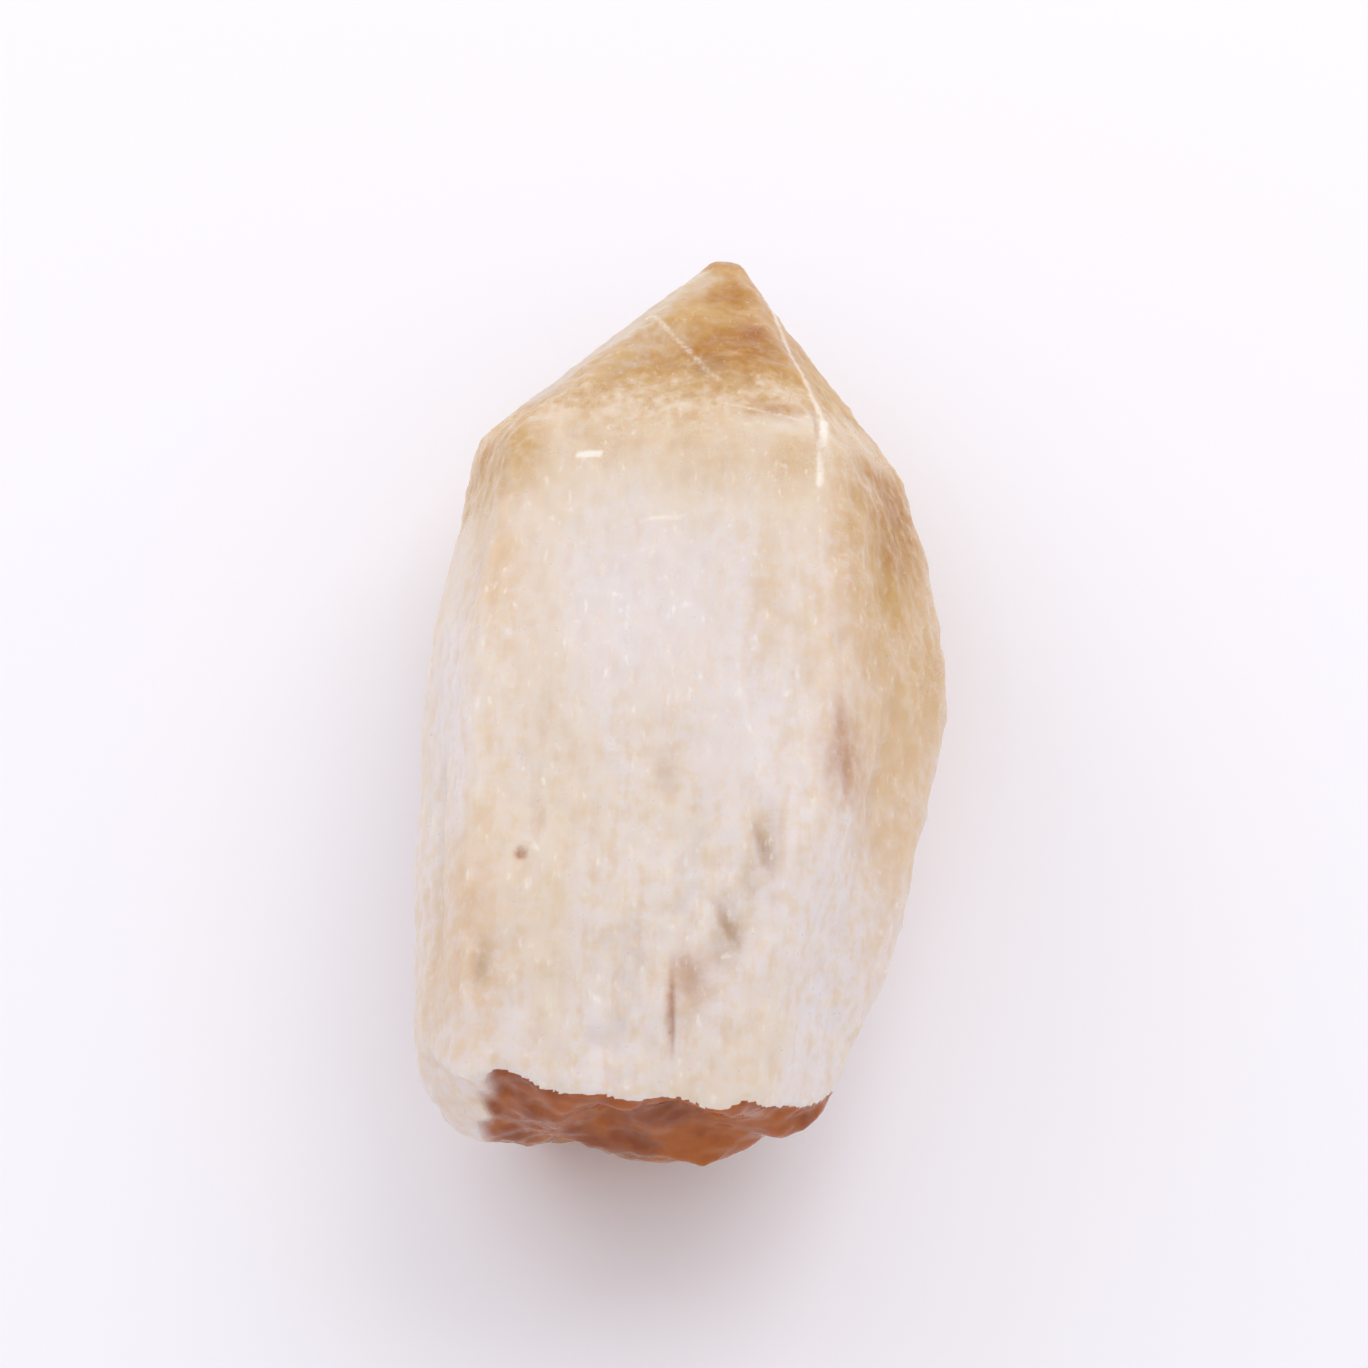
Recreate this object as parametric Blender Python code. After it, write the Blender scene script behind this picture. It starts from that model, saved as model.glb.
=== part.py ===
"""A natural citrine crystal point: a flattened six-sided prism with a six-faced tip and a broken base.

Lengths are in millimetres until the mesh is made in metres. The crystal lies on one prism face at
z = 0, with its tip towards +Y and its broad upper face up. It grew as one piece, so it is one solid.
"""

import math

import bmesh
import bpy
import numpy as np
from mathutils import Vector, noise

MILLIMETRE = 0.001

# The six prism sides, in order round the axis. An angle is that of the side's outward direction,
# turned from +Z towards +X, and a count is how many strips the side is divided into.
SIDE_ANGLES = (-3.0, 60.0, 121.0, 180.0, 239.0, 292.0)
SIDE_STRIPS = (15, 8, 8, 7, 8, 8)
TOP, UPPER_RIGHT, LOWER_RIGHT, UNDERSIDE, LOWER_LEFT, UPPER_LEFT = range(6)

AXIS_HEIGHT = 9.2
RESTING_HEIGHT = 0.001
# Half widths right and left of the axis, and the height of the upper face, at stations along Y.
RIGHT_STATIONS = (
    (-8.0, 6.2),
    (0.2, 8.8),
    (4.0, 10.3),
    (10.5, 12.3),
    (19.3, 13.8),
    (26.6, 13.75),
    (34.0, 12.2),
)
LEFT_STATIONS = (
    (-8.0, 12.3),
    (-3.5, 13.1),
    (3.0, 13.7),
    (15.7, 13.8),
    (21.4, 13.4),
    (29.6, 12.0),
    (37.0, 10.7),
)
TOP_STATIONS = ((-8.0, 14.6), (0.0, 16.8), (8.0, 17.8), (20.0, 18.1), (37.0, 17.6))

# Where each prism edge ends at the shoulder, for the edge that follows each side in order.
SHOULDER_Y = (30.2, 33.6, 37.4, 38.2, 36.0, 31.9)
APEX = (2.7, 49.1, 8.7)
BLUNT_SHARE = 0.08
BLUNT_RISE = 0.25
BODY_ROWS = 31
TIP_ROWS = 9

# The broken base stands almost upright, and is bevelled underneath.
BASE_Y = -5.95
BASE_SLOPE_X = -0.13
BASE_SLOPE_Z = -0.01
BASE_REFERENCE_Z = 15.0
BEVEL_TOP_Z = 6.0
BEVEL_SLOPE = 0.95
BEVEL_ROUNDING = 1.1
BASE_RIGHT_X = 6.4
BASE_RIGHT_LEAN = 0.74
BASE_RIGHT_CURVE = 0.11
BASE_LEFT_X = -10.6
BASE_LEFT_CURVE = 0.42
BASE_SOLVING_STEPS = 6
BASE_RINGS = 9
SCOOP_CENTRE = (2.5, 10.6)
SCOOP_RADII = (8.5, 3.6)
SCOOP_DEPTH = 1.5
RIPPLE_CENTRE = (9.0, 15.5)
RIPPLE_SPACING = 4.1
RIPPLE_DEPTH = 0.24
BASE_LUMPS = 0.70
BASE_LUMP_SIZE = 3.4
BASE_LUMP_LAYER = 4.7
BASE_LUMP_LEVEL = 0.75

# Relief of the sides: long ribs, low swells, and how far the prism edges are nibbled.
RIB_HEIGHT = (0.18, 0.30, 0.42, 0.0, 0.42, 0.30)
RIB_WIDTH = 1.6
RIB_LENGTH = 10.0
RIB_LAYER = 3.1
SWELL_HEIGHT = 0.36
SWELL_SIZE = 7.5
EDGE_ROUNDING = (0.22, 0.45, 0.25, 0.12, 0.12, 0.25)
EDGE_CHIP = 0.28
EDGE_CHIP_SIZE = 3.2
RELIEF_ALLOWANCE = 0.22
TIP_RELIEF = 0.14
TIP_RELIEF_SIZE = 1.9
TIP_WORN_SHARE = 0.98
NOISE_MIDDLE = 0.5

# Long scars and round knocks in the surface: side, middle across from -1 to 1, middle along Y,
# half width, half length and depth. Across a side, a scar is measured in strips of this half width.
SCAR_STRIP = 0.6
SCARS = (
    (TOP, 0.33, 5.2, 1.1, 4.2, 0.55),
    (TOP, 0.12, 0.8, 1.3, 3.4, 0.50),
    (TOP, 0.02, -2.2, 0.9, 2.6, 0.45),
    (TOP, 0.78, 15.0, 0.9, 5.0, 0.35),
    (TOP, -0.62, 10.5, 0.8, 6.5, 0.28),
    (UPPER_RIGHT, 0.10, 12.0, 1.4, 6.0, 0.70),
    (UPPER_RIGHT, -0.35, 24.0, 1.1, 4.5, 0.45),
    (UPPER_LEFT, 0.00, 9.0, 1.2, 7.0, 0.45),
    (UPPER_LEFT, 0.45, 24.0, 1.0, 4.0, 0.35),
    (LOWER_RIGHT, 0.00, 16.0, 1.8, 8.0, 0.90),
    (LOWER_RIGHT, 0.35, 29.0, 1.3, 3.5, 0.60),
    (LOWER_RIGHT, -0.45, 4.0, 1.5, 5.0, 0.80),
    (LOWER_LEFT, -0.10, 8.0, 1.8, 5.0, 0.85),
    (LOWER_LEFT, 0.20, 25.0, 1.5, 6.0, 0.80),
    (LOWER_LEFT, -0.50, 17.0, 1.2, 4.0, 0.60),
)

COLOUR = (0.86, 0.72, 0.56, 1.0)
ROUGHNESS = 0.42


def clear_objects():
    for item in list(bpy.data.objects):
        bpy.data.objects.remove(item, do_unlink=True)


def along(stations, y):
    """A smooth curve through the stations, read at y."""
    places = [place for place, _ in stations]
    index = min(max(int(np.searchsorted(places, y)) - 1, 0), len(stations) - 2)
    before = stations[max(index - 1, 0)]
    start = stations[index]
    end = stations[index + 1]
    after = stations[min(index + 2, len(stations) - 1)]
    span = end[0] - start[0]
    share = min(max((y - start[0]) / span, 0.0), 1.0)
    leave = (end[1] - before[1]) / (end[0] - before[0]) * span
    arrive = (after[1] - start[1]) / (after[0] - start[0]) * span
    square = share * share
    cube = square * share
    return (
        start[1] * (2 * cube - 3 * square + 1)
        + leave * (cube - 2 * square + share)
        + end[1] * (3 * square - 2 * cube)
        + arrive * (cube - square)
    )


def side_distances(y):
    """How far each prism side lies from the axis at y, with what its relief takes off added back."""
    right = along(RIGHT_STATIONS, y) + RELIEF_ALLOWANCE
    left = along(LEFT_STATIONS, y) + RELIEF_ALLOWANCE
    sines = [abs(math.sin(math.radians(angle))) for angle in SIDE_ANGLES]
    return (
        along(TOP_STATIONS, y) + RELIEF_ALLOWANCE - AXIS_HEIGHT,
        right * sines[UPPER_RIGHT],
        right * sines[LOWER_RIGHT],
        AXIS_HEIGHT,
        left * sines[LOWER_LEFT],
        left * sines[UPPER_LEFT],
    )


def prism_corners(y):
    """The six corners of the cross-section at y. Each one ends the side of the same number."""
    distances = side_distances(y)
    corners = []
    for side in range(6):
        following = (side + 1) % 6
        first = math.radians(SIDE_ANGLES[side])
        second = math.radians(SIDE_ANGLES[following])
        lines = np.array([[math.sin(first), math.cos(first)], [math.sin(second), math.cos(second)]])
        x, height = np.linalg.solve(lines, [distances[side], distances[following]])
        corners.append((x, height + AXIS_HEIGHT))
    return corners


def base_form(x, z):
    """Where the broken base lies along Y, before its own relief."""
    leaning = BASE_Y + BASE_SLOPE_X * x + BASE_SLOPE_Z * (z - BASE_REFERENCE_Z)
    right_start = BASE_RIGHT_X - BASE_RIGHT_LEAN * (BASE_REFERENCE_Z - z)
    right = BASE_RIGHT_CURVE * max(x - right_start, 0.0) ** 2
    left = BASE_LEFT_CURVE * max(BASE_LEFT_X - x, 0.0) ** 2
    below = (BEVEL_TOP_Z - z) / BEVEL_ROUNDING
    bevel = BEVEL_SLOPE * BEVEL_ROUNDING * math.log1p(math.exp(below))
    return leaning + bevel + right + left


def base_surface(x, z):
    """The base with its scoop, shell-like ripples and lumps, as a push towards the tip."""
    across = (x - SCOOP_CENTRE[0]) / SCOOP_RADII[0]
    up = (z - SCOOP_CENTRE[1]) / SCOOP_RADII[1]
    scoop = SCOOP_DEPTH * max(1.0 - across * across - up * up, 0.0)
    reach = math.hypot(x - RIPPLE_CENTRE[0], z - RIPPLE_CENTRE[1])
    ripple = RIPPLE_DEPTH * (1.0 + math.sin(math.tau * reach / RIPPLE_SPACING))
    place = Vector((x, z, BASE_LUMP_LAYER)) / BASE_LUMP_SIZE
    lumps = BASE_LUMPS * (BASE_LUMP_LEVEL + noise.noise(place))
    return base_form(x, z) + scoop + ripple + lumps


def line_places():
    """Each line along the crystal, as its side and its share of the way across that side."""
    return [(side, strip / SIDE_STRIPS[side]) for side in range(6) for strip in range(SIDE_STRIPS[side])]


def section_point(side, share, y):
    """The x and z of one line of the prism at y."""
    corners = prism_corners(y)
    start = corners[side - 1]
    end = corners[side]
    return (start[0] + (end[0] - start[0]) * share, start[1] + (end[1] - start[1]) * share)


def base_end(side, share):
    """The y at which one line meets the broken base."""
    y = BASE_Y
    for _ in range(BASE_SOLVING_STEPS):
        y = base_surface(*section_point(side, share, y))
    return y


def shoulder_end(side, share):
    """The y at which one line meets the tip's faces."""
    return SHOULDER_Y[side - 1] + (SHOULDER_Y[side] - SHOULDER_Y[side - 1]) * share


def scar_depth(side, across, y):
    """How deep the scars of a side are at one place."""
    depth = 0.0
    for scar_side, middle, middle_y, half_width, half_length, deepest in SCARS:
        if scar_side != side:
            continue
        sideways = (across - middle) * SIDE_STRIPS[side] * SCAR_STRIP / half_width
        lengthways = (y - middle_y) / half_length
        depth += deepest * max(1.0 - sideways * sideways - lengthways * lengthways, 0.0)
    return depth


def swell_depth(place):
    """Low swells that run on over the edges."""
    return SWELL_HEIGHT * (NOISE_MIDDLE + noise.noise(place / SWELL_SIZE))


def side_relief(side, share, place):
    """How far a point of a side lies inside its flat plane."""
    across = 2.0 * share - 1.0
    width = SIDE_STRIPS[side] * across / RIB_WIDTH
    ribs = NOISE_MIDDLE + noise.noise(Vector((width, place.y / RIB_LENGTH, RIB_LAYER * side)))
    inside = 1.0 - across * across
    depth = RIB_HEIGHT[side] * ribs * inside + scar_depth(side, across, place.y)
    return depth + swell_depth(place)


def edge_relief(side, place):
    """How far the edge before a side is rounded and nibbled away at one place."""
    chip = EDGE_CHIP * max(noise.noise(place / EDGE_CHIP_SIZE), 0.0)
    return EDGE_ROUNDING[side] + chip + swell_depth(place)


def outward(side, share):
    """The direction in which relief is measured: across a side, or between two sides on an edge."""
    angle = math.radians(SIDE_ANGLES[side])
    if share > 0.0:
        return (math.sin(angle), math.cos(angle))
    before = math.radians(SIDE_ANGLES[side - 1])
    x = math.sin(angle) + math.sin(before)
    z = math.cos(angle) + math.cos(before)
    length = math.hypot(x, z)
    return (x / length, z / length)


def prism_point(side, share, y):
    """One finished point of the prism."""
    x, z = section_point(side, share, y)
    place = Vector((x, y, z))
    if side == UNDERSIDE and share > 0.0:
        return place
    sideways, upward = outward(side, share)
    depth = side_relief(side, share, place) if share > 0.0 else edge_relief(side, place)
    place.x -= sideways * depth
    if z > RESTING_HEIGHT:
        place.z = max(z - upward * depth, 0.0)
    return place


def tip_point(shoulder, share):
    """One finished point of the tip, from the shoulder at 0 to the blunt end at 1."""
    apex = Vector(APEX)
    travelled = share * (1.0 - BLUNT_SHARE)
    point = shoulder.lerp(apex, travelled)
    inward = (Vector((apex.x, point.y, apex.z)) - point).normalized()
    wear = TIP_RELIEF * (NOISE_MIDDLE + noise.noise(point / TIP_RELIEF_SIZE))
    wear *= math.sin(math.pi * min(share, TIP_WORN_SHARE))
    return point + inward * max(wear, 0.0)


def base_point(edge, centre, share):
    """One finished point of the base, from its edge at 0 to its middle at 1."""
    x = edge.x + (centre[0] - edge.x) * share
    z = edge.z + (centre[1] - edge.z) * share
    return Vector((x, base_surface(x, z), z))


def crystal_rows():
    """Rings of points from the middle of the base to the blunt tip."""
    lines = line_places()
    starts = [base_end(side, share) for side, share in lines]
    ends = [shoulder_end(side, share) for side, share in lines]
    body = []
    for row in range(BODY_ROWS + 1):
        share = row / BODY_ROWS
        places = zip(lines, starts, ends)
        body.append([prism_point(*line, start + (end - start) * share) for line, start, end in places])
    centre = (0.0, AXIS_HEIGHT)
    base = [
        [base_point(edge, centre, 1.0 - ring / BASE_RINGS) for edge in body[0]] for ring in range(1, BASE_RINGS)
    ]
    tip = [[tip_point(shoulder, row / TIP_ROWS) for shoulder in body[-1]] for row in range(1, TIP_ROWS + 1)]
    return centre, base + body + tip


def crystal_mesh():
    """The closed mesh, set with the middle of its box's underside at the origin."""
    centre, rows = crystal_rows()
    shape = bmesh.new()
    rings = [[shape.verts.new(point * MILLIMETRE) for point in row] for row in rows]
    middle = Vector((centre[0], base_surface(*centre), centre[1]))
    tip = sum(rows[-1], Vector()) / len(rows[-1]) + Vector((0.0, BLUNT_RISE, 0.0))
    ends = (shape.verts.new(middle * MILLIMETRE), shape.verts.new(tip * MILLIMETRE))
    count = len(rings[0])
    for lower, upper in zip(rings, rings[1:]):
        for index in range(count):
            following = (index + 1) % count
            shape.faces.new((lower[index], upper[index], upper[following], lower[following]))
    for index in range(count):
        following = (index + 1) % count
        shape.faces.new((ends[0], rings[0][index], rings[0][following]))
        shape.faces.new((ends[1], rings[-1][following], rings[-1][index]))
    bmesh.ops.triangulate(shape, faces=shape.faces, quad_method="SHORT_EDGE")
    bmesh.ops.recalc_face_normals(shape, faces=shape.faces)
    places = np.array([vertex.co for vertex in shape.verts])
    low = places.min(axis=0)
    high = places.max(axis=0)
    shift = Vector((-(low[0] + high[0]) / 2, -(low[1] + high[1]) / 2, -low[2]))
    bmesh.ops.translate(shape, verts=shape.verts, vec=shift)
    mesh = bpy.data.meshes.new("citrine_point")
    shape.to_mesh(mesh)
    shape.free()
    return mesh


def citrine_material():
    material = bpy.data.materials.new("citrine")
    material.use_nodes = True
    shader = material.node_tree.nodes["Principled BSDF"]
    shader.inputs["Base Color"].default_value = COLOUR
    shader.inputs["Roughness"].default_value = ROUGHNESS
    shader.inputs["Metallic"].default_value = 0.0
    return material


def make_citrine_point():
    crystal = bpy.data.objects.new("citrine_point", crystal_mesh())
    crystal.data.materials.append(citrine_material())
    bpy.context.scene.collection.objects.link(crystal)
    return crystal


clear_objects()
make_citrine_point()
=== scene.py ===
"""A raw citrine crystal point on a pale studio floor, laid out as an add-on and run as a script."""

import math

import bmesh
import bpy
import numpy
from bpy.props import FloatProperty, FloatVectorProperty, PointerProperty
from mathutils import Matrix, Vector
from mathutils.bvhtree import BVHTree
from mathutils.kdtree import KDTree


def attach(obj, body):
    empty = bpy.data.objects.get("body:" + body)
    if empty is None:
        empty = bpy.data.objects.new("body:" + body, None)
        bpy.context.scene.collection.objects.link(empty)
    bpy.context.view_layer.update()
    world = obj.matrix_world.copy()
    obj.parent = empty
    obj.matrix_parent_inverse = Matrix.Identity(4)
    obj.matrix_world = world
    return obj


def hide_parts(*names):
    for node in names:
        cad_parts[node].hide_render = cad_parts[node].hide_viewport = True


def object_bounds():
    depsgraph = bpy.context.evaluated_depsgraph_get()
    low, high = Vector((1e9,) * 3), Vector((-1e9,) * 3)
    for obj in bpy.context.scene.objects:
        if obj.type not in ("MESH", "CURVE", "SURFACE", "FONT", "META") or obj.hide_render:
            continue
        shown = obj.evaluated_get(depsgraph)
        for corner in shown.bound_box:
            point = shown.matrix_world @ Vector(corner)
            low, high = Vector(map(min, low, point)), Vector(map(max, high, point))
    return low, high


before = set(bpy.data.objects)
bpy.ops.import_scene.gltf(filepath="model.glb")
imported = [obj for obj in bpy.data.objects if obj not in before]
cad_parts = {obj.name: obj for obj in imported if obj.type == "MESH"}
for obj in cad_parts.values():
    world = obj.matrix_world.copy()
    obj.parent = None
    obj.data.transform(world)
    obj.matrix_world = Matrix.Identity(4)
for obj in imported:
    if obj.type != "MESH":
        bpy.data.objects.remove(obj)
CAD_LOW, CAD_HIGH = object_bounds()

bl_info = {
    "name": "Citrine Crystal Point",
    "version": (1, 0, 0),
    "blender": (4, 5, 0),
    "location": "3D View > Sidebar > Citrine",
    "description": "Finishes the surface of a raw citrine point and sets it on a studio floor",
    "category": "Object",
}

NODE = "citrine_point"
PIECE = "crystal"
MILLIMETRE = 0.001
PER_MILLIMETRE = 1.0 / MILLIMETRE
CAD_SIZE = CAD_HIGH - CAD_LOW
CAD_MIDDLE = (CAD_LOW + CAD_HIGH) / 2

# Places on the crystal, in millimetres from the frame's origin.
TIP_Y = CAD_HIGH.y / MILLIMETRE
BASE_Y = CAD_LOW.y / MILLIMETRE
SHOULDER_Y = TIP_Y - 16.4
AXIS_Z = 9.2
RESTING_Z = 0.12

# Lengths that the relief is laid out by, in millimetres.
WELD = 0.002
EDGE_STEP = 0.25
EDGE_REACH = 1.2
BREAK_DEPTH = 14.0
RESTING_FADE = 0.8
UPPER_FADE = 2.0
BODY_PAST_SHOULDER = 2.5
BODY_FADE = 4.0
TIP_BEFORE_SHOULDER = 1.0
TIP_PAST_SHOULDER = 3.0

# Slopes that tell the faces apart, as a share of the normal along one axis.
UPPER_SLOPE = 0.30
AROUND_SLOPE = -0.80
AROUND_FADE = 0.60
SIDE_SLOPE = 0.80
SIDE_FADE = 0.35
BREAK_SLOPE = 0.30
BREAK_FULL_SLOPE = 0.60

# The level of a texture that stays in place, the least weight kept, and the force of smoothing.
MEAN_LEVEL = 0.55
LEAST_WEIGHT = 0.001
SMOOTHING = 0.5

# Open cracks of the upper side: middle, half width, half length and turn.
CRACKS = (
    (3.8, -14.2, 0.36, 1.9, 0.30),
    (2.0, -17.8, 0.42, 1.8, 0.45),
    (0.1, -20.4, 0.60, 1.2, 0.10),
    (-0.6, -21.9, 0.24, 2.7, 0.02),
    (-7.9, -13.8, 0.28, 0.30, 0.0),
    (7.8, -8.2, 0.50, 3.0, 0.05),
    (6.9, 9.8, 0.20, 3.4, 0.10),
)

# Coloured marks of the upper side by colour: middle, half width, half length and strength.
MARKS = {
    "milk": (
        (-1.8, -0.5, 7.5, 9.5, 0.95),
        (2.6, -7.0, 4.0, 7.0, 0.70),
        (-11.8, -3.0, 1.8, 9.0, 0.30),
    ),
    "peach": (
        # The first two ovals, on the right side face, are partly painted shade: that side is
        # painted a deeper peach for the shade that falls on it.
        (10.6, -3.0, 5.2, 19.0, 1.00),
        (8.2, -3.0, 3.0, 9.0, 0.60),
        (-9.6, 3.0, 2.4, 8.0, 0.72),
        (-11.0, -18.0, 4.0, 9.5, 0.75),
        (4.2, 0.0, 1.6, 7.0, 0.40),
    ),
    "amber": (
        (-9.2, 10.0, 4.2, 5.0, 1.00),
        (-3.8, 10.4, 4.6, 3.6, 0.40),
        (1.6, 9.6, 5.0, 5.2, 0.34),
        (5.6, 8.4, 3.0, 4.2, 0.42),
        (10.4, 6.0, 4.6, 12.0, 0.95),
        (12.2, 1.0, 3.0, 9.0, 0.50),
        # This oval is partly painted shade: its amber darkens the right tip face against the
        # brightness of the key light there.
        (7.2, 16.0, 2.6, 4.6, 1.00),
    ),
    "honey": (
        (3.0, 18.0, 4.2, 4.6, 1.00),
        (1.6, 17.4, 3.0, 3.6, 0.95),
        (3.6, 18.0, 1.8, 2.6, 1.00),
        (-1.2, 16.0, 2.2, 1.8, 0.40),
        (2.4, 23.2, 3.2, 2.6, 0.75),
        (2.0, 26.2, 2.4, 1.2, 0.80),
        (-10.3, 11.4, 2.0, 1.7, 0.60),
        (10.9, 8.6, 3.0, 5.4, 1.00),
        (10.6, 5.4, 1.4, 3.2, 0.80),
        (4.4, 12.0, 2.6, 1.6, 0.55),
    ),
    "rust": (
        (3.7, 19.2, 1.2, 1.1, 0.85),
        (1.9, 22.6, 2.0, 0.8, 0.50),
        (7.8, -8.6, 2.0, 4.2, 0.50),
        (-0.6, -21.6, 0.45, 3.2, 0.55),
        (-7.9, -14.0, 0.5, 0.45, 1.00),
    ),
    "moss": (
        (4.0, -14.0, 1.1, 3.2, 0.48),
        (2.1, -18.2, 1.3, 3.0, 0.55),
        (3.2, -16.0, 0.8, 2.4, 0.40),
        (-9.6, -19.4, 0.8, 2.0, 0.40),
        (1.2, 16.0, 1.9, 1.5, 0.45),
    ),
    "rose": (
        (0.4, -20.6, 1.7, 2.8, 0.52),
        (-0.9, -9.8, 0.8, 2.0, 0.35),
    ),
}

# Colours that run on round the sides; the other marks are on the upper side only.
ZONES = ("milk", "peach", "amber", "honey")

# Colours of marks that let the quartz under them look clearer.
CLEARER = ("honey", "amber")

# Lines of the upper side by colour: start, end, half width and strength.
LINES = {
    "cream": (
        # The first two lines are a painted highlight: a pale strip along the tip's left edge, where
        # the light falls.
        (0.4, 24.4, -7.4, 16.8, 2.6, 1.00),
        (-1.2, 19.0, -5.4, 16.0, 3.2, 0.30),
        (8.9, 14.0, 9.9, 11.6, 1.9, 0.50),
    ),
    "veil": (
        (-1.6, 21.0, 1.8, 14.6, 0.50, 0.62),
        (4.6, 23.6, 5.6, 18.2, 0.40, 0.75),
        (5.6, 18.2, 7.2, 11.6, 0.42, 0.80),
        (7.2, 11.6, 7.0, 9.2, 0.55, 0.90),
        (7.0, 9.2, 6.8, 6.4, 0.50, 0.80),
        (1.9, 12.6, 6.6, 11.0, 0.34, 0.60),
        # A painted glint, not a crack: a short white dash of light where the tip meets the body.
        (-5.3, 8.7, -4.3, 8.8, 0.50, 1.00),
        (-2.2, 4.6, 0.2, 4.9, 0.40, 0.62),
    ),
}

# Noises of the material: waves to a millimetre, stretch along the crystal, detail and roughness.
NOISES = {
    "bands": (0.22, 0.22, 3.0, 0.60),
    "streaks": (1.7, 0.22, 2.0, 0.60),
    "mottles": (1.3, 1.0, 3.0, 0.68),
    "cloud": (0.34, 1.0, 3.0, 0.62),
    "skin": (0.30, 1.0, 1.0, 0.50),
    # The sparkle noise places the painted glints.
    "sparkle": (3.0, 0.45, 2.0, 0.60),
}

# Where each layer starts and where it is full: five places in millimetres, then shares.
RISES = {
    "lower body": (-8.0, -22.0),
    "warmth": (-2.0, 12.0),
    "amber": (9.8, 16.8),
    "skin": (-8.8, -9.8),
    "underside": (9.0, 3.0),
    "bands": (0.36, 0.66),
    "mottles": (0.42, 0.70),
    "streaks": (0.42, 0.80),
    "honey": (0.34, 0.84),
    "edge_wear_and_highlight": (0.76, 1.10),
    "pale lines": (0.00, 0.85),
    "white lines": (0.36, 1.06),
    "bruises": (0.60, 1.00),
    "bruise mottles": (0.48, 0.72),
    "painted_glints": (0.59, 0.76),
    "break": (0.25, 0.60),
    "embers": (0.38, 0.66),
}

# How much of the colour under it each layer covers where it is full.
COVERS = {
    "bands": 0.74,
    "mottles": 0.55,
    "streaks": 0.34,
    "warmth": 0.88,
    "amber": 0.88,
    "honey": 0.50,
    "edge_wear_and_highlight": 0.30,
    "marks": 0.90,
    "pale lines": 0.92,
    "white lines": 0.75,
    "bruises": 0.30,
    "painted_glints": 0.46,
    "white": 0.85,
    "cracks": 0.22,
    "embers": 0.75,
    "underside": 0.60,
    "nectar": 0.80,
}

# How ragged the borders of the layers are.
NOISE_MIDDLE = 0.5
CLOUD_RAGGEDNESS = 1.1
MARK_RAGGEDNESS = 1.8
SKIN_RAGGEDNESS = 2.8
# Painted light: how many fewer cream bands the lower body gets, so that it is painted paler against
# the shade that falls there.
LOWER_PAINTED_LIGHT = 0.05
PALE_CLOUDINESS = 1.8
WHITE_LINE_GAIN = 1.2

# How much clear quartz shows through the amber and the marks, and how many painted glints it loses
# there.
AMBER_WINDOW = 0.7
MARK_WINDOW = 0.8
PAINTED_GLINTS_LOST_IN_WINDOWS = 0.35

# Roughness of the body, what polish takes off it, and how uneven it is.
BODY_ROUGHNESS = 0.42
TIP_POLISH = 0.14
BREAK_POLISH = 0.26
CLEAR_POLISH = 0.10
UNEVENNESS = 0.25
BREAK_EVENNESS = 0.15

# Share of clear quartz in the body, and what is added to it or taken off elsewhere.
BODY_CLEARNESS = 0.12
TIP_CLEARNESS = 0.22
BREAK_CLEARNESS = 0.14
WHITE_DULLNESS = 0.20

QUARTZ_IOR = 1.544
BUMP_STRENGTH = 0.35
BUMP_DEPTH = 0.08
MILK_GLOSS = 0.30
MILK_SCATTER = 0.7
MILK_SCATTER_COLOUR = (1.0, 0.75, 0.55)
MILK_SCATTER_DEPTH = 1.6

# The studio, in metres; how near and how far the camera sees are shares of its distance.
FLOOR_SIZE = 4.0
FLOOR_DROP = 0.00005
FLOOR_ROUGHNESS = 0.6
SKY_COLOUR = (1.0, 0.99, 1.0, 1.0)
NEAREST_SEEN = 0.01
FARTHEST_SEEN = 100

# Lights by the name of their power setting: size, place and colour.
LIGHTS = {
    "key": (0.30, (0.18, 0.22, 0.34), (1.0, 0.985, 0.97)),
    "rim": (0.22, (-0.24, 0.20, 0.20), (0.97, 0.98, 1.0)),
}


def linear(red, green, blue):
    """A screen colour from 0 to 255, as the linear colour that a shader takes."""
    return tuple(
        (value / 255 / 12.92) if value <= 10 else ((value / 255 + 0.055) / 1.055) ** 2.4
        for value in (red, green, blue)
    )


def colour_property(name, description, default):
    return FloatVectorProperty(
        name=name,
        description=description,
        subtype="COLOR",
        size=3,
        min=0.0,
        max=1.0,
        default=default,
    )


def length_property(name, description, millimetres):
    return FloatProperty(
        name=name,
        description=description,
        subtype="DISTANCE",
        unit="LENGTH",
        min=0.0,
        default=millimetres * MILLIMETRE,
    )


def angle_property(name, description, degrees):
    return FloatProperty(
        name=name,
        description=description,
        subtype="ANGLE",
        unit="ROTATION",
        default=math.radians(degrees),
    )


def power_property(name, description, watts):
    return FloatProperty(name=name, description=description, unit="POWER", default=watts)


class CitrineReliefSettings(bpy.types.PropertyGroup):
    grid: length_property("Grid", "Size of the faces that carry the relief", 0.23)
    sharpness: angle_property(
        "Sharpness", "Angle from which an edge of the solid counts as a crystal edge", 24.0
    )
    swell: length_property("Swells", "Depth of the uneven growth of the sides", 0.26)
    rib: length_property("Ribs", "Depth of the long ribs of the sides", 0.20)
    streak: length_property("Streaks", "Depth of the fine streaks along the sides", 0.08)
    chip: length_property("Edge chips", "Depth of the chips along the edges", 0.34)
    pit: length_property("Pits", "Depth of the small pits", 0.08)
    fracture: length_property("Fracture", "Depth of the steps of the broken base", 0.45)
    etching: length_property("Etching", "Depth of the marks on the tip's faces", 0.05)
    crack: length_property("Cracks", "Depth of the open cracks", 0.18)


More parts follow.
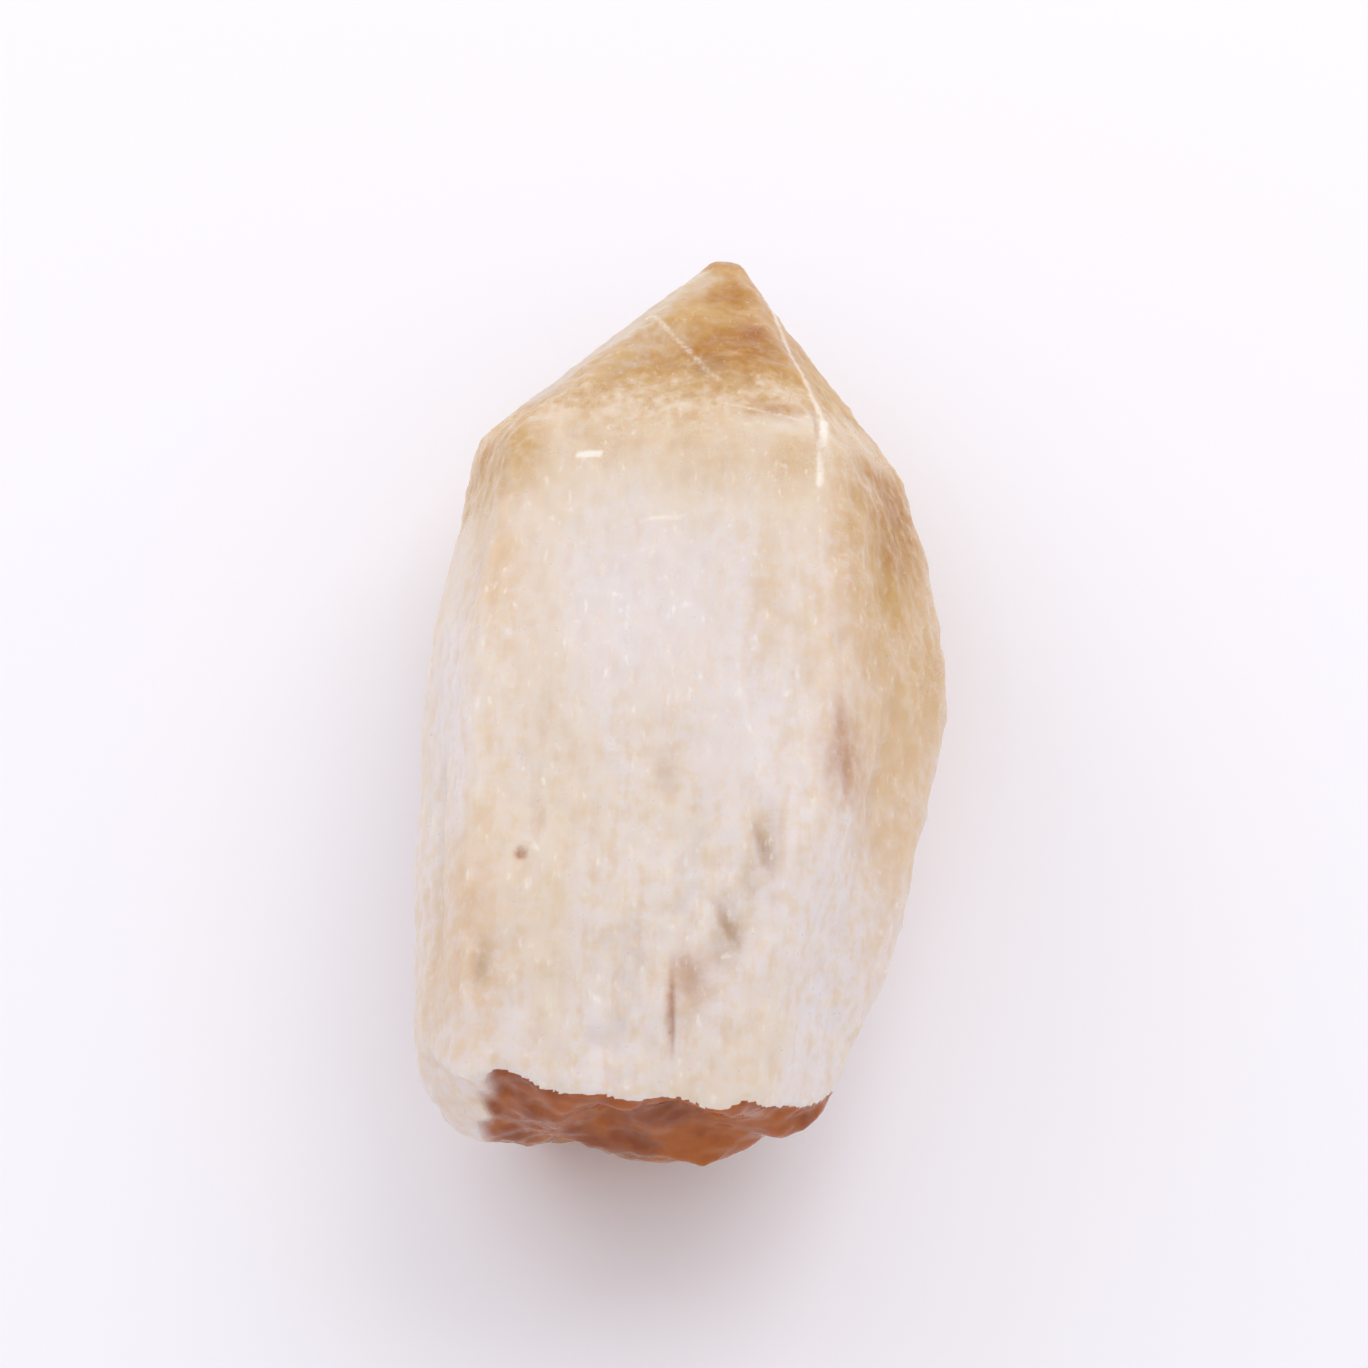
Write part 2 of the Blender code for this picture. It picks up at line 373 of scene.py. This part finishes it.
class CitrineColourSettings(bpy.types.PropertyGroup):
    milk: colour_property("Milk", "Milky quartz of the body", linear(242, 232, 231))
    cream: colour_property("Cream", "Warm tint of the milky quartz", linear(240, 222, 200))
    # Peach is partly painted shade, through its marks on the right side face.
    peach: colour_property("Peach", "Pinkish bands along the sides", linear(230, 197, 156))
    amber: colour_property("Amber", "Citrine of the tip and shoulders", linear(228, 181, 104))
    honey: colour_property("Honey", "Deeper citrine in patches", linear(196, 130, 16))
    rust: colour_property("Rust", "Brown stains in cracks", linear(186, 122, 66))
    moss: colour_property("Moss", "Greenish brown dirt in cracks", linear(180, 150, 112))
    rose: colour_property("Rose", "Pinkish brown bruises", linear(196, 156, 134))
    glow: colour_property("Glow", "Clear citrine of the broken base", linear(190, 101, 2))
    ember: colour_property("Ember", "Darkest citrine of the broken base", linear(142, 63, 2))
    # White of the veils and bruises, also used for the painted glints.
    veil: colour_property("Veil", "White cracks, bruises and worn edges", linear(252, 247, 242))
    water: colour_property("Water", "Clear parts of the milky body", (0.98, 0.93, 0.86))
    nectar: colour_property("Nectar", "Clear parts of the tip", (0.94, 0.60, 0.12))
    syrup: colour_property("Syrup", "Clear parts of the broken base", (0.92, 0.50, 0.01))
    absorption: colour_property(
        "Absorption", "What clear citrine lets through", (0.88, 0.62, 0.24)
    )
    absorption_density: FloatProperty(
        name="Absorption density", description="Per metre of clear citrine", min=0.0, default=240.0
    )


class CitrineStudioSettings(bpy.types.PropertyGroup):
    floor: colour_property("Floor", "Pale studio floor", linear(248, 246, 253))
    elevation: angle_property("Camera elevation", "Angle of the camera above the floor", 60.0)
    lens: FloatProperty(
        name="Lens", description="Focal length", subtype="DISTANCE_CAMERA", default=120.0
    )
    fill: FloatProperty(
        name="Fill",
        description="Share of the frame's height that the crystal fills",
        min=0.2,
        max=1.0,
        default=0.80,
    )
    sky: FloatProperty(
        name="Sky", description="Strength of the even light all round", min=0.0, default=0.80
    )
    key: power_property("Key", "Power of the soft main light", 0.46)
    rim: power_property("Rim", "Power of the light behind the tip", 0.20)


class Term:
    """A number from a shader socket, so that shader maths is written as sums."""

    def __init__(self, paint, socket):
        self.paint = paint
        self.socket = socket

    def math(self, operation, other, clamp=False):
        settings = {"operation": operation, "use_clamp": clamp}
        made = self.paint.node("ShaderNodeMath", settings, {0: self, 1: other})
        return Term(self.paint, made.outputs[0])

    def __add__(self, other):
        return self.math("ADD", other)

    __radd__ = __add__

    def __sub__(self, other):
        return self.math("SUBTRACT", other)

    def __rsub__(self, other):
        return Term(self.paint, self.paint.value(other)).math("SUBTRACT", self)

    def __mul__(self, other):
        return self.math("MULTIPLY", other)

    def most(self, other):
        return self.math("MAXIMUM", other)

    def held(self):
        """Kept between 0 and 1."""
        return self.math("ADD", 0.0, clamp=True)

    def rise(self, low, high):
        """0 below low, 1 above high, and smooth between; falling if low is above high."""
        if low > high:
            ends = {"From Min": high, "From Max": low, "To Min": 1.0, "To Max": 0.0}
        else:
            ends = {"From Min": low, "From Max": high}
        settings = {"interpolation_type": "SMOOTHSTEP"}
        made = self.paint.node("ShaderNodeMapRange", settings, {"Value": self, **ends})
        return Term(self.paint, made.outputs["Result"])


class Paint:
    """Makes the nodes of one material."""

    def __init__(self, material):
        material.use_nodes = True
        self.tree = material.node_tree
        self.tree.nodes.clear()

    def node(self, kind, settings=None, values=None):
        made = self.tree.nodes.new(kind)
        for name, value in (settings or {}).items():
            setattr(made, name, value)
        for name, value in (values or {}).items():
            self.give(made.inputs[name], value)
        return made

    def give(self, socket, value):
        """Links a socket to a term or another socket, or sets it to a plain value."""
        value = value.socket if isinstance(value, Term) else value
        if isinstance(value, bpy.types.NodeSocket):
            self.tree.links.new(value, socket)
        else:
            socket.default_value = value

    def value(self, number):
        made = self.node("ShaderNodeValue")
        made.outputs[0].default_value = number
        return made.outputs[0]

    def mapped(self, vector, scale):
        return self.node("ShaderNodeMapping", None, {"Vector": vector, "Scale": scale}).outputs[0]

    def noise(self, vector, name):
        scale, stretch, detail, roughness = NOISES[name]
        if stretch != 1.0:
            vector = self.mapped(vector, (1.0, stretch, 1.0))
        values = {"Vector": vector, "Scale": scale, "Detail": detail, "Roughness": roughness}
        return Term(self, self.node("ShaderNodeTexNoise", None, values).outputs["Fac"])

    def split(self, vector):
        parts = self.node("ShaderNodeSeparateXYZ", None, {0: vector})
        return [Term(self, socket) for socket in parts.outputs]

    def stored(self, name):
        """A share that was stored on the mesh."""
        return Term(self, self.node("ShaderNodeAttribute", {"attribute_name": name}).outputs["Fac"])

    def blend(self, share, first, second):
        """first where share is 0 and second where it is 1; both are colours."""
        settings = {"data_type": "RGBA", "blend_type": "MIX", "clamp_factor": True}
        made = self.node("ShaderNodeMix", settings)
        sockets = {socket.identifier: socket for socket in made.inputs}
        self.give(sockets["Factor_Float"], share)
        for name, colour in (("A_Color", first), ("B_Color", second)):
            is_plain = not isinstance(colour, bpy.types.NodeSocket)
            self.give(sockets[name], (*colour, 1.0) if is_plain else colour)
        return next(socket for socket in made.outputs if socket.identifier == "Result_Color")


def select_only(piece):
    if bpy.context.mode != "OBJECT":
        bpy.ops.object.mode_set(mode="OBJECT")
    bpy.ops.object.select_all(action="DESELECT")
    piece.select_set(True)
    bpy.context.view_layer.objects.active = piece


def smooth(value, low, high):
    """0 below low, 1 above high, and smooth between."""
    share = min(max((value - low) / (high - low), 0.0), 1.0)
    return share * share * (3.0 - 2.0 * share)


def copied_solid():
    """The frame's solid as a new merged piece."""
    piece = bpy.data.objects.new(PIECE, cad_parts[NODE].data.copy())
    bpy.context.scene.collection.objects.link(piece)
    piece.data.materials.clear()
    select_only(piece)
    bpy.ops.object.mode_set(mode="EDIT")
    bpy.ops.mesh.select_all(action="SELECT")
    bpy.ops.mesh.remove_doubles(threshold=WELD * MILLIMETRE)
    bpy.ops.object.mode_set(mode="OBJECT")
    return piece


def broken_faces(solid):
    """The faces of the broken base: all that look down the crystal, from its lowest one onwards."""
    steep = [face for face in solid.faces if -face.normal.y > BREAK_FULL_SLOPE]
    waiting = [min(steep, key=lambda face: face.calc_center_median().y)]
    found = {waiting[0].index}
    while waiting:
        for edge in waiting.pop().edges:
            for face in edge.link_faces:
                if face.index not in found and -face.normal.y > BREAK_SLOPE:
                    found.add(face.index)
                    waiting.append(face)
    return found


class Original:
    """The solid before its relief, asked for its nearest crystal edge and its nearest face."""

    def __init__(self, piece, sharpness):
        solid = bmesh.new()
        solid.from_mesh(piece.data)
        bmesh.ops.scale(solid, vec=Vector((1.0, 1.0, 1.0)) / MILLIMETRE, verts=solid.verts)
        self.faces = BVHTree.FromBMesh(solid)
        self.break_faces = broken_faces(solid)
        points = []
        for edge in solid.edges:
            if edge.calc_face_angle(0.0) > sharpness:
                start, end = (vertex.co for vertex in edge.verts)
                steps = max(int(edge.calc_length() / EDGE_STEP), 1)
                points.extend(start.lerp(end, step / steps) for step in range(steps + 1))
        solid.free()
        self.edges = KDTree(len(points))
        for index, point in enumerate(points):
            self.edges.insert(point, index)
        self.edges.balance()

    def near_edge(self, place, _):
        """1 on a crystal edge, 0 away from all of them."""
        closeness = EDGE_REACH - self.edges.find(place)[2]
        return off_floor(place) * smooth(closeness, 0.0, EDGE_REACH)

    def broken(self, place, _):
        """1 on the broken base."""
        if place.y > BASE_Y + BREAK_DEPTH:
            return 0.0
        _, normal, index, _ = self.faces.find_nearest(place)
        if index not in self.break_faces:
            return 0.0
        return smooth(-normal.y, BREAK_SLOPE, BREAK_FULL_SLOPE)


def apply(piece, kind, **settings):
    """Adds a modifier, sets it and applies it."""
    select_only(piece)
    modifier = piece.modifiers.new(kind.title(), kind)
    for name, value in settings.items():
        setattr(modifier, name, value)
    bpy.ops.object.modifier_apply(modifier=modifier.name)


def off_floor(place):
    """0 on the face that the crystal rests on, 1 just above it."""
    return smooth(place.z, RESTING_Z, RESTING_Z + RESTING_FADE)


def body_share(place, normal):
    """1 on the sides of the prism."""
    along = smooth(SHOULDER_Y + BODY_PAST_SHOULDER - place.y, 0.0, BODY_FADE)
    return off_floor(place) * along * smooth(SIDE_SLOPE - abs(normal.y), 0.0, SIDE_FADE)


def tip_share(place, _):
    """1 on the faces of the tip."""
    start = SHOULDER_Y - TIP_BEFORE_SHOULDER
    return off_floor(place) * smooth(place.y, start, SHOULDER_Y + TIP_PAST_SHOULDER)


def loose_share(place, _):
    """1 wherever the surface may move."""
    return off_floor(place)


def crack_share(place, _):
    """1 in the middle of the open cracks of the upper side."""
    deepest = 0.0
    for x, y, half_width, half_length, turn in CRACKS:
        sideways = place.x - x
        lengthways = place.y - y
        across = (sideways * math.cos(turn) + lengthways * math.sin(turn)) / half_width
        down = (lengthways * math.cos(turn) - sideways * math.sin(turn)) / half_length
        deepest = max(deepest, 1.0 - across * across - down * down)
    return smooth(place.z, AXIS_Z, AXIS_Z + UPPER_FADE) * deepest


def weigh(piece, name, rule):
    """A vertex group whose weights come from a rule on place and normal."""
    group = piece.vertex_groups.new(name=name)
    for vertex in piece.data.vertices:
        weight = rule(vertex.co / MILLIMETRE, vertex.normal)
        if weight > LEAST_WEIGHT:
            group.add([vertex.index], min(weight, 1.0), "REPLACE")


def store(mesh, name, shares):
    """A point attribute for the material."""
    attribute = mesh.attributes.new(name=name, type="FLOAT", domain="POINT")
    attribute.data.foreach_set("value", shares)


def store_share(piece, name, rule):
    """A point attribute from the same kind of rule."""
    vertices = piece.data.vertices
    shares = [rule(vertex.co / MILLIMETRE, vertex.normal) for vertex in vertices]
    store(piece.data, name, shares)


def grain(name, kind, **settings):
    """A procedural texture for a displacement."""
    made = bpy.data.textures.new(name, kind)
    for setting, value in settings.items():
        setattr(made, setting, value)
    return made


def clouds(name, depth, **settings):
    return grain(
        name,
        "CLOUDS",
        noise_basis="IMPROVED_PERLIN",
        noise_scale=1.0,
        noise_depth=depth,
        **settings,
    )


def press(piece, group, depth, texture, width, length, level=MEAN_LEVEL):
    """Moves the surface by a texture whose grains have this width and length in millimetres."""
    bpy.ops.object.empty_add(location=(0.0, 0.0, 0.0))
    guide = bpy.context.object
    guide.scale = (width * MILLIMETRE, length * MILLIMETRE, width * MILLIMETRE)
    bpy.context.view_layer.update()
    apply(
        piece,
        "DISPLACE",
        texture=texture,
        texture_coords="OBJECT",
        texture_coords_object=guide,
        strength=depth,
        mid_level=level,
        vertex_group=group,
    )
    bpy.data.objects.remove(guide)


def even_grid(piece, size, evenings):
    """Even faces of one size all over, with edges a little rounded."""
    apply(piece, "REMESH", mode="VOXEL", voxel_size=size)
    apply(piece, "SMOOTH", factor=SMOOTHING, iterations=evenings)
    piece.vertex_groups.clear()


def carve_forms(piece, relief, original):
    """The deeper relief: swells, ribs, chipped edges and the steps of the break."""
    weigh(piece, "loose", loose_share)
    weigh(piece, "body", body_share)
    weigh(piece, "break", original.broken)
    weigh(piece, "edges", original.near_edge)
    swells = clouds("swell", 1)
    ribs = clouds("rib", 2, noise_type="HARD_NOISE")
    steps = clouds("steps", 2, noise_type="HARD_NOISE", contrast=1.5)
    chips = clouds("chips", 2, contrast=2.0)
    press(piece, "loose", relief.swell, swells, width=4.0, length=6.0)
    press(piece, "body", relief.rib, ribs, width=1.3, length=9.0)
    press(piece, "break", relief.fracture, steps, width=3.2, length=3.2)
    press(piece, "edges", relief.chip, chips, width=1.4, length=2.0, level=1.0)
    apply(piece, "SMOOTH", factor=SMOOTHING, iterations=2, vertex_group="edges")


def carve_grain(piece, relief, original):
    """The finer relief: streaks, etching, pits and open cracks."""
    weigh(piece, "loose", loose_share)
    weigh(piece, "body", body_share)
    weigh(piece, "tip", tip_share)
    weigh(piece, "cracks", crack_share)
    streaks = clouds("streak", 3)
    etching = clouds("etching", 3)
    pits = grain("pits", "VORONOI", noise_scale=1.0, noise_intensity=1.4, contrast=1.8)
    press(piece, "body", relief.streak, streaks, width=0.5, length=3.4)
    press(piece, "tip", relief.etching, etching, width=0.8, length=1.0)
    press(piece, "loose", relief.pit, pits, width=0.9, length=1.6)
    apply(piece, "DISPLACE", strength=-relief.crack, mid_level=0.0, vertex_group="cracks")
    for vertex in piece.data.vertices:
        vertex.co.z = max(vertex.co.z, 0.0)
    store_share(piece, "break_share", original.broken)
    store_share(piece, "edge_share", original.near_edge)
    store_share(piece, "crack_share", crack_share)


def eased(share):
    """A share between 0 and 1, held there and rounded off at both ends."""
    share = numpy.clip(share, 0.0, 1.0)
    return share * share * (3.0 - 2.0 * share)


def oval_share(x, y, middle_x, middle_y, half_width, half_length):
    """1 in the middle of an oval, 0 at its border."""
    across = (x - middle_x) / half_width
    along = (y - middle_y) / half_length
    return eased(1.0 - (across * across + along * along) ** 0.5)


def stroke_share(x, y, start_x, start_y, end_x, end_y, half_width):
    """1 along a line from a start to an end, 0 at half a width from it."""
    run_x = end_x - start_x
    run_y = end_y - start_y
    travelled = (x - start_x) * run_x + (y - start_y) * run_y
    along = numpy.clip(travelled / (run_x**2 + run_y**2), 0.0, 1.0)
    off = numpy.hypot(x - start_x - along * run_x, y - start_y - along * run_y)
    return eased(1.0 - off / half_width)


def store_marks(piece):
    """The coloured marks and lines, one attribute for each colour."""
    mesh = piece.data
    places = numpy.empty(len(mesh.vertices) * 3, dtype=numpy.float32)
    normals = numpy.empty_like(places)
    mesh.vertices.foreach_get("co", places)
    mesh.vertices.foreach_get("normal", normals)
    x, y, _ = places.reshape(-1, 3).T / MILLIMETRE
    rising = normals.reshape(-1, 3)[:, 2]
    up = numpy.clip(rising / UPPER_SLOPE, 0.0, 1.0)
    around = numpy.clip((rising - AROUND_SLOPE) / AROUND_FADE, 0.0, 1.0)
    for colour, ovals in MARKS.items():
        shares = [oval_share(x, y, *oval) * strength for *oval, strength in ovals]
        seen = around if colour in ZONES else up
        store(mesh, colour + "_marks", numpy.max(shares, axis=0) * seen)
    for colour, lines in LINES.items():
        shares = [stroke_share(x, y, *line) * strength for *line, strength in lines]
        store(mesh, colour + "_lines", numpy.max(shares, axis=0) * up)


class CITRINE_OT_crystal(bpy.types.Operator):
    """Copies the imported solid, gives it its fine relief and its citrine material"""

    bl_idname = "citrine.crystal"
    bl_label = "Crystal"

    def execute(self, context):
        relief = context.scene.citrine_relief
        crystal = copied_solid()
        original = Original(crystal, relief.sharpness)
        even_grid(crystal, relief.grid, evenings=3)
        carve_forms(crystal, relief, original)
        even_grid(crystal, relief.grid, evenings=1)
        carve_grain(crystal, relief, original)
        store_marks(crystal)
        select_only(crystal)
        bpy.ops.object.shade_smooth()
        crystal.data.materials.append(citrine_material(context.scene.citrine_colours))
        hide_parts(NODE)
        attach(crystal, "root")
        return {"FINISHED"}


class Grain:
    """The places and noises that the layers of the citrine share."""

    def __init__(self, paint):
        self.paint = paint
        spot = paint.node("ShaderNodeTexCoord").outputs["Object"]
        self.place = paint.mapped(spot, (PER_MILLIMETRE,) * 3)
        self.x, self.y, self.z = paint.split(self.place)
        self.streaks = self.noise("streaks")
        self.mottles = self.noise("mottles")
        self.cloud = self.noise("cloud")
        uneven = self.mottles - NOISE_MIDDLE
        self.ragged = (self.cloud - NOISE_MIDDLE) * CLOUD_RAGGEDNESS + uneven

    def noise(self, name):
        return self.paint.noise(self.place, name)

    def strayed(self, term, ragged=0.0, streaks=0.0, mottles=0.0):
        """A term moved by these amounts of the noises, so that its border wanders."""
        if ragged:
            term = term + self.ragged * ragged
        if streaks:
            term = term + (self.streaks - NOISE_MIDDLE) * streaks
        if mottles:
            term = term + (self.mottles - NOISE_MIDDLE) * mottles
        return term


def milky_tint(paint, colours, grain):
    """The milky body: soft lengthwise bands, mottles and fine streaks, warmer upwards, and painted
    paler low down against the shade there.
    """
    lower = grain.y.rise(*RISES["lower body"])
    # Painted light: fewer cream bands on the lower body paint it paler against its shade.
    bands = (grain.noise("bands") - lower * LOWER_PAINTED_LIGHT).rise(*RISES["bands"])
    mottles = grain.mottles.rise(*RISES["mottles"])
    streaks = grain.strayed(grain.streaks, mottles=0.7).rise(*RISES["streaks"])
    warmth = grain.strayed(grain.y, ragged=5.0, streaks=7.0).rise(*RISES["warmth"])
    tint = paint.blend(bands * COVERS["bands"], colours.milk, colours.cream)
    tint = paint.blend(mottles * COVERS["mottles"], tint, colours.cream)
    tint = paint.blend(streaks * COVERS["streaks"], tint, colours.peach)
    return paint.blend(warmth * COVERS["warmth"], tint, colours.cream)


def amber_tint(paint, colours, grain, tint, amber):
    """Amber over the tip, with deeper patches and paler edges, partly wear and partly painted
    highlight.
    """
    patches = (grain.ragged + NOISE_MIDDLE).rise(*RISES["honey"])
    # Paler edges: partly wear, partly a painted highlight along the crystal edges.
    edge_wear_and_highlight = grain.strayed(paint.stored("edge_share"), ragged=0.6).rise(*RISES["edge_wear_and_highlight"])
    tint = paint.blend(amber * COVERS["amber"], tint, colours.amber)
    tint = paint.blend(amber * patches * COVERS["honey"], tint, colours.honey)
    return paint.blend(amber * edge_wear_and_highlight * COVERS["edge_wear_and_highlight"], tint, colours.cream)


def marked_tint(paint, colours, grain, tint, windows):
    """The coloured marks and the pale lines, and how clear the quartz is with them."""
    frayed = 1.0 + grain.ragged * MARK_RAGGEDNESS
    for colour in MARKS:
        share = (paint.stored(colour + "_marks") * frayed).held()
        tint = paint.blend(share * COVERS["marks"], tint, getattr(colours, colour))
        if colour in CLEARER:
            windows = windows.most(share * MARK_WINDOW)
    # The pale lines along the tip's left edge are a painted highlight.
    pale = grain.strayed(paint.stored("cream_lines"), ragged=0.8, streaks=0.8)
    pale = pale.rise(*RISES["pale lines"]) * (grain.cloud * PALE_CLOUDINESS).held()
    return paint.blend(pale * COVERS["pale lines"], tint, colours.cream), windows


def white_share(paint, grain, windows, broken):
    """1 where the quartz is painted white: in painted glints, in white cracks with one painted
    glint dash among them, and in the bruises of worn edges.
    """
    # Painted glints: small white dashes from the sparkle noise stand in for light glinting off
    # inner cracks.
    painted_glints = grain.strayed(grain.noise("sparkle"), ragged=0.10).rise(*RISES["painted_glints"])
    painted_glints = painted_glints * (COVERS["painted_glints"] - windows * PAINTED_GLINTS_LOST_IN_WINDOWS)
    lines = grain.strayed(paint.stored("veil_lines") * WHITE_LINE_GAIN, mottles=1.1)
    lines = lines.rise(*RISES["white lines"]) * COVERS["white lines"]
    bruises = paint.stored("edge_share").rise(*RISES["bruises"])
    bruises = bruises * grain.mottles.rise(*RISES["bruise mottles"]) * COVERS["bruises"]
    return (painted_glints.most(lines).most(bruises) * (1.0 - broken)).held()


def broken_share(paint, grain):
    """1 on the broken base, but for its left corner, which kept its milky skin."""
    border = grain.x + (grain.noise("skin") - NOISE_MIDDLE) * SKIN_RAGGEDNESS
    skinned = border.rise(*RISES["skin"])
    broken = grain.strayed(paint.stored("break_share"), ragged=0.3).rise(*RISES["break"])
    return broken * (1.0 - skinned)


def broken_tint(paint, colours, grain):
    """The deep amber of the broken base, paler towards the floor."""
    embers = grain.strayed(grain.cloud, mottles=0.25).rise(*RISES["embers"])
    underside = grain.z.rise(*RISES["underside"])
    tint = paint.blend(embers * COVERS["embers"], colours.glow, colours.ember)
    return paint.blend(underside * COVERS["underside"], tint, colours.honey)


def citrine_material(colours):
    """Milky quartz that turns to clear amber citrine at the tip, the shoulders and the break."""
    material = bpy.data.materials.new("citrine")
    paint = Paint(material)
    grain = Grain(paint)
    amber = grain.strayed(grain.y, ragged=5.5, streaks=6.0).rise(*RISES["amber"])
    broken = broken_share(paint, grain)

    tint = milky_tint(paint, colours, grain)
    tint = amber_tint(paint, colours, grain, tint, amber)
    tint, windows = marked_tint(paint, colours, grain, tint, amber * AMBER_WINDOW)
    white = white_share(paint, grain, windows, broken)
    # White veils and bruises, and the painted glints.
    tint = paint.blend(white * COVERS["white"], tint, colours.veil)
    tint = paint.blend(paint.stored("crack_share") * COVERS["cracks"], tint, colours.rust)
    tint = paint.blend(broken, tint, broken_tint(paint, colours, grain))

    lit = paint.blend(windows * COVERS["nectar"], colours.water, colours.nectar)
    lit = paint.blend(broken, lit, colours.syrup)
    bump = paint.node(
        "ShaderNodeBump",
        None,
        {
            "Height": grain.mottles,
            "Strength": BUMP_STRENGTH,
            "Distance": BUMP_DEPTH * MILLIMETRE,
        },
    )
    roughness = BODY_ROUGHNESS - windows * TIP_POLISH - broken * BREAK_POLISH
    uneven = UNEVENNESS - broken * BREAK_EVENNESS
    roughness = roughness + (grain.mottles - NOISE_MIDDLE) * uneven
    milk = paint.node(
        "ShaderNodeBsdfPrincipled",
        None,
        {
            "Base Color": tint,
            "Roughness": roughness,
            "IOR": QUARTZ_IOR,
            "Normal": bump.outputs[0],
            "Specular IOR Level": MILK_GLOSS,
            "Subsurface Weight": MILK_SCATTER,
            "Subsurface Radius": MILK_SCATTER_COLOUR,
            "Subsurface Scale": MILK_SCATTER_DEPTH * MILLIMETRE,
        },
    )
    clear = paint.node(
        "ShaderNodeBsdfPrincipled",
        None,
        {
            "Base Color": lit,
            "Roughness": roughness - CLEAR_POLISH,
            "IOR": QUARTZ_IOR,
            "Normal": bump.outputs[0],
            "Transmission Weight": 1.0,
        },
    )
    clearness = BODY_CLEARNESS + windows * TIP_CLEARNESS + broken * BREAK_CLEARNESS
    clearness = (clearness - white * WHITE_DULLNESS).held()
    mixed = paint.node(
        "ShaderNodeMixShader", None, {0: 1.0 - clearness, 1: clear.outputs[0], 2: milk.outputs[0]}
    )
    absorption = paint.node(
        "ShaderNodeVolumeAbsorption",
        None,
        {"Color": (*colours.absorption, 1.0), "Density": colours.absorption_density},
    )
    paint.node(
        "ShaderNodeOutputMaterial",
        None,
        {"Surface": mixed.outputs[0], "Volume": absorption.outputs[0]},
    )
    return material


class CITRINE_OT_studio(bpy.types.Operator):
    """Adds the pale floor, the soft lights and the camera"""

    bl_idname = "citrine.studio"
    bl_label = "Studio"

    def execute(self, context):
        studio = context.scene.citrine_studio
        context.scene.view_settings.view_transform = "Standard"
        add_floor(studio)
        add_sky(studio)
        for name, (size, place, colour) in LIGHTS.items():
            add_light(name, size, getattr(studio, name), place, colour)
        add_camera(studio)
        return {"FINISHED"}


def add_floor(studio):
    bpy.ops.mesh.primitive_plane_add(size=FLOOR_SIZE, location=(0.0, 0.0, -FLOOR_DROP))
    floor = bpy.context.object
    floor.name = "floor"
    material = bpy.data.materials.new("studio_floor")
    paint = Paint(material)
    values = {"Base Color": (*studio.floor, 1.0), "Roughness": FLOOR_ROUGHNESS}
    shader = paint.node("ShaderNodeBsdfPrincipled", None, values)
    paint.node("ShaderNodeOutputMaterial", None, {"Surface": shader.outputs[0]})
    floor.data.materials.append(material)


def add_sky(studio):
    world = bpy.data.worlds.new("studio_sky")
    bpy.context.scene.world = world
    world.use_nodes = True
    background = world.node_tree.nodes["Background"]
    background.inputs["Color"].default_value = SKY_COLOUR
    background.inputs["Strength"].default_value = studio.sky


def add_light(name, size, power, place, colour):
    bpy.ops.object.light_add(type="AREA", location=place)
    light = bpy.context.object
    light.name = name
    light.data.shape = "SQUARE"
    light.data.size = size
    light.data.energy = power
    light.data.color = colour
    light.rotation_euler = (CAD_MIDDLE - light.location).to_track_quat("-Z", "Y").to_euler()


def add_camera(studio):
    bpy.ops.object.camera_add()
    camera = bpy.context.object
    camera.name = "camera"
    camera.data.lens = studio.lens
    level = math.cos(studio.elevation)
    upright = math.sin(studio.elevation)
    back = Vector((0.0, -level, upright))
    seen_height = CAD_SIZE.y * upright + CAD_SIZE.z * level
    width_at_one = camera.data.sensor_width / camera.data.lens
    distance = seen_height / studio.fill / width_at_one
    camera.location = CAD_MIDDLE + back * distance
    camera.rotation_euler = (-back).to_track_quat("-Z", "Y").to_euler()
    camera.data.clip_start = distance * NEAREST_SEEN
    camera.data.clip_end = distance * FARTHEST_SEEN
    bpy.context.scene.camera = camera


class CITRINE_PT_panel(bpy.types.Panel):
    """Settings and buttons of the citrine point"""

    bl_idname = "CITRINE_PT_panel"
    bl_label = "Citrine Point"
    bl_space_type = "VIEW_3D"
    bl_region_type = "UI"
    bl_category = "Citrine"

    def draw(self, context):
        scene = context.scene
        for title, settings, operator in (
            ("Relief", scene.citrine_relief, None),
            ("Colours", scene.citrine_colours, CITRINE_OT_crystal),
            ("Studio", scene.citrine_studio, CITRINE_OT_studio),
        ):
            box = self.layout.box()
            box.label(text=title)
            for name in settings.__annotations__:
                box.prop(settings, name)
            if operator:
                box.operator(operator.bl_idname)


CLASSES = (
    CitrineReliefSettings,
    CitrineColourSettings,
    CitrineStudioSettings,
    CITRINE_OT_crystal,
    CITRINE_OT_studio,
    CITRINE_PT_panel,
)


def register():
    for cls in CLASSES:
        bpy.utils.register_class(cls)
    bpy.types.Scene.citrine_relief = PointerProperty(type=CitrineReliefSettings)
    bpy.types.Scene.citrine_colours = PointerProperty(type=CitrineColourSettings)
    bpy.types.Scene.citrine_studio = PointerProperty(type=CitrineStudioSettings)


def unregister():
    del bpy.types.Scene.citrine_studio
    del bpy.types.Scene.citrine_colours
    del bpy.types.Scene.citrine_relief
    for cls in reversed(CLASSES):
        bpy.utils.unregister_class(cls)


def main():
    register()
    bpy.ops.citrine.crystal()
    bpy.ops.citrine.studio()


if __name__ == "__main__":
    main()
